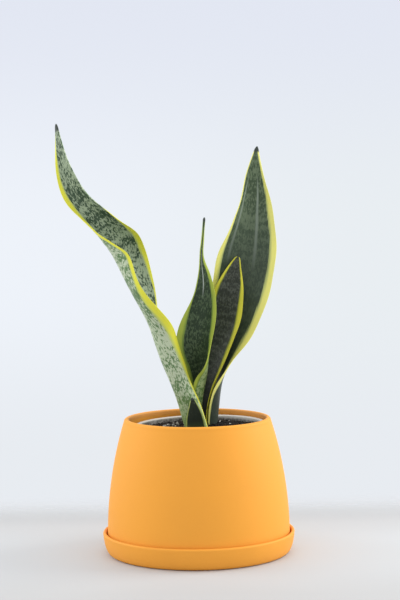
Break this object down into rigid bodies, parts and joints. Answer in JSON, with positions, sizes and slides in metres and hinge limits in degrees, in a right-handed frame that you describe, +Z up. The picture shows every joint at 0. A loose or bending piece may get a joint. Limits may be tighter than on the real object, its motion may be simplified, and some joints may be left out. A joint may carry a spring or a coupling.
{
  "type": "potted snake plant",
  "caption": "Variegated snake plant with upright rolled leaves, in a tapered cover pot that stands on a low round saucer.",
  "frame": {"origin": "centre of the saucer's flat foot, on the surface that it stands on", "axes": "+Z up along the pot's axis; -Y towards the front, where the short sprout is; +X to the viewer's right"},
  "size_m": [0.1919, 0.1578, 0.3522],
  "materials": {
    "saucer_ceramic": "matte orange-yellow coloured ceramic",
    "pot_ceramic": "matte orange-yellow coloured ceramic",
    "white_plastic": "thin white plastic",
    "soil": "dark peat potting soil",
    "rhizome_skin": "matte root skin",
    "perlite": "chalky white grain",
    "leaf_left_tall": "semi-gloss mottled leaf with yellow margins",
    "leaf_right_broad": "semi-gloss banded leaf with pale yellow margins",
    "leaf_centre": "glossy dark leaf with yellow-green margins",
    "leaf_centre_right": "semi-gloss dark leaf with mustard margins",
    "leaf_front_sprout": "semi-gloss dark spear with thin pale margins"
  },
  "bodies": {
    "root": {"saucer": "saucer_ceramic", "ceramic_pot": "pot_ceramic", "grow_pot": "white_plastic", "potting_soil": "soil", "rhizome": "rhizome_skin", "leaf_left_tall": "leaf_left_tall", "leaf_right_broad": "leaf_right_broad", "leaf_centre": "leaf_centre", "leaf_centre_right": "leaf_centre_right", "leaf_front_sprout": "leaf_front_sprout", "perlite_grain_1": "perlite", "perlite_grain_2": "perlite", "perlite_grain_3": "perlite", "perlite_grain_4": "perlite", "perlite_grain_5": "perlite", "perlite_grain_6": "perlite", "perlite_grain_7": "perlite", "perlite_grain_8": "perlite"}
  },
  "joints": []
}
